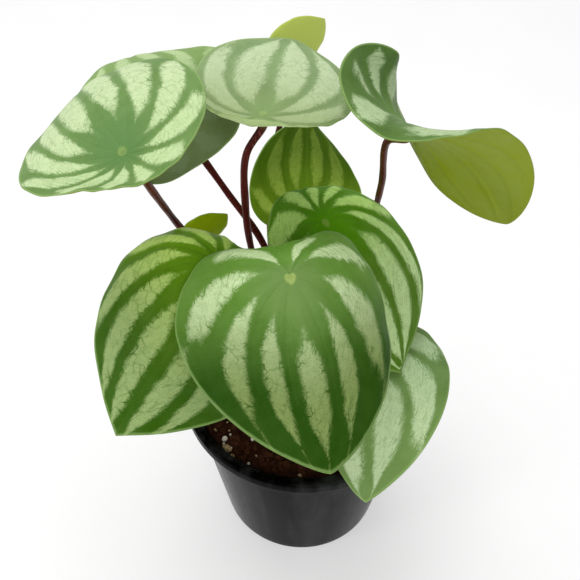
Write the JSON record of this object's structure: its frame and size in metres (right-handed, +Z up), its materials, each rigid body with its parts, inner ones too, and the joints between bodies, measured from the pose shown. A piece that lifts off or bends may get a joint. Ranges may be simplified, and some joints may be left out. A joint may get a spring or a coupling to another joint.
{
  "type": "potted peperomia plant",
  "caption": "Watermelon peperomia: silver-striped shield leaves on dark red stalks, growing from potting mix in a small round black nursery pot.",
  "frame": {"origin": "centre of the pot's flat underside, on the pot's axis", "axes": "+Z up along the pot's axis; +Y away from the camera of the picture; +X to the picture's right"},
  "size_m": [0.1453, 0.1516, 0.2021],
  "materials": {
    "pot_plastic": "satin",
    "potting_mix": "rough",
    "crown_tissue": "satin",
    "leaf_blade": "satin",
    "petiole": "satin"
  },
  "bodies": {
    "root": {"pot": "pot_plastic", "soil": "potting_mix", "crown": "crown_tissue", "front_blade": "leaf_blade", "front_petiole": "petiole", "mid_right_blade": "leaf_blade", "mid_right_petiole": "petiole", "left_blade": "leaf_blade", "left_petiole": "petiole", "low_right_blade": "leaf_blade", "low_right_petiole": "petiole", "top_left_blade": "leaf_blade", "top_left_petiole": "petiole", "top_mid_blade": "leaf_blade", "top_mid_petiole": "petiole", "top_right_blade": "leaf_blade", "top_right_petiole": "petiole", "back_left_blade": "leaf_blade", "back_left_petiole": "petiole", "back_mid_blade": "leaf_blade", "back_mid_petiole": "petiole", "back_top_blade": "leaf_blade", "back_top_petiole": "petiole", "left_small_blade": "leaf_blade", "left_small_petiole": "petiole"}
  },
  "joints": []
}
